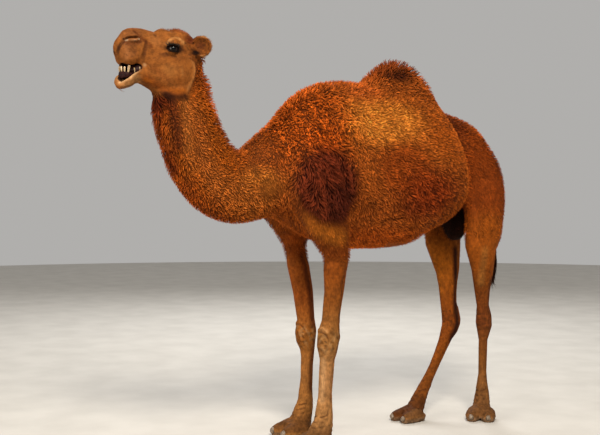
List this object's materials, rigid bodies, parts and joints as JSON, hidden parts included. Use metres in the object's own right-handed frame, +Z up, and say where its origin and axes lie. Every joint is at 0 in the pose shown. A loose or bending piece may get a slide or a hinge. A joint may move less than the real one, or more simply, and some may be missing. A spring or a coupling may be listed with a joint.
{
  "type": "dromedary camel",
  "caption": "Standing dromedary camel, a still life-size model with its head raised, mouth a little open and one hind leg stepped forward.",
  "frame": {"origin": "on the floor, under the middle of the animal's bounding box", "axes": "+Z up, the animal faces -Y, and its left side is towards +X"},
  "size_m": [0.7297, 2.6195, 2.1206],
  "materials": {
    "wool": "matte",
    "short_hair": "matte",
    "nail": "satin",
    "eye": "gloss"
  },
  "bodies": {
    "root": {"trunk": "wool", "hump": "wool", "neck_lower": "wool", "neck_upper": "wool", "tail": "wool", "head": "short_hair", "lower_jaw": "short_hair", "ear_left": "short_hair", "ear_right": "short_hair", "forearm_left": "short_hair", "forearm_right": "short_hair", "fore_cannon_left": "short_hair", "fore_cannon_right": "short_hair", "fore_foot_left": "short_hair", "fore_foot_right": "short_hair", "gaskin_left": "short_hair", "gaskin_right": "short_hair", "hind_cannon_left": "short_hair", "hind_cannon_right": "short_hair", "hind_foot_left": "short_hair", "hind_foot_right": "short_hair", "fore_nail_left_left": "nail", "fore_nail_left_right": "nail", "fore_nail_right_left": "nail", "fore_nail_right_right": "nail", "hind_nail_left_left": "nail", "hind_nail_left_right": "nail", "hind_nail_right_left": "nail", "hind_nail_right_right": "nail", "eye_left": "eye", "eye_right": "eye"}
  },
  "joints": []
}
